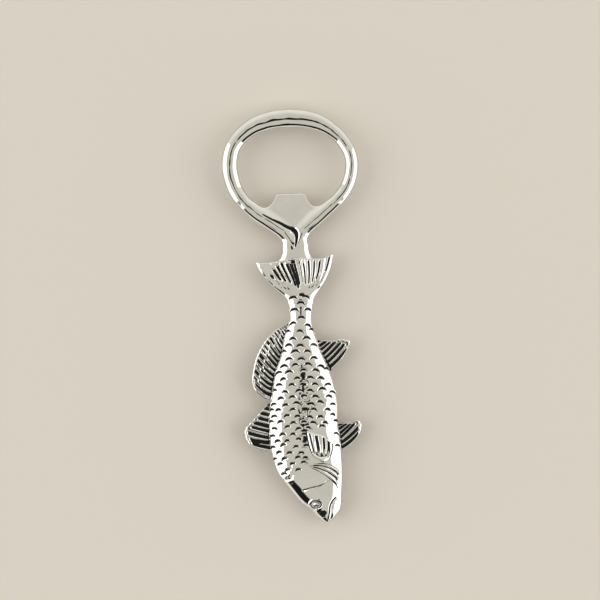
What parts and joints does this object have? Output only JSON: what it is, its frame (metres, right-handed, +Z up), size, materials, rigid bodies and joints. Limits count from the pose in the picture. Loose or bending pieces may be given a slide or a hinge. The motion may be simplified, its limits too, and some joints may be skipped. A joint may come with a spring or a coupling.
{
  "type": "souvenir bottle opener",
  "caption": "Fish-shaped souvenir bottle opener: an oval ring with a lifting tongue, joined by a neck and tang to a cast fish whose fins, gill covers, jaw and eyes are separate pieces.",
  "frame": {"origin": "on the surface the opener lies on, below the middle of its length and of the ring's width", "axes": "+X across the opener towards the fish's belly, +Y along it towards the ring, +Z up from the surface"},
  "size_m": [0.0546, 0.165, 0.013],
  "materials": {
    "polished_nickel": "mirror-polished nickel plate",
    "antiqued_nickel": "polished nickel plate with black patina left in the recesses",
    "black_patina": "black patina, satin"
  },
  "bodies": {
    "root": {"opener_ring": "polished_nickel", "lifting_tongue": "polished_nickel", "tail_fin": "antiqued_nickel", "fish_body": "antiqued_nickel", "soft_dorsal_fin": "antiqued_nickel", "spiny_dorsal_fin": "antiqued_nickel", "anal_fin": "antiqued_nickel", "pelvic_fin": "antiqued_nickel", "left_pectoral_fin": "polished_nickel", "right_pectoral_fin": "polished_nickel", "left_gill_cover": "polished_nickel", "right_gill_cover": "polished_nickel", "lower_jaw": "polished_nickel", "left_eye": "black_patina", "right_eye": "black_patina"}
  },
  "joints": []
}
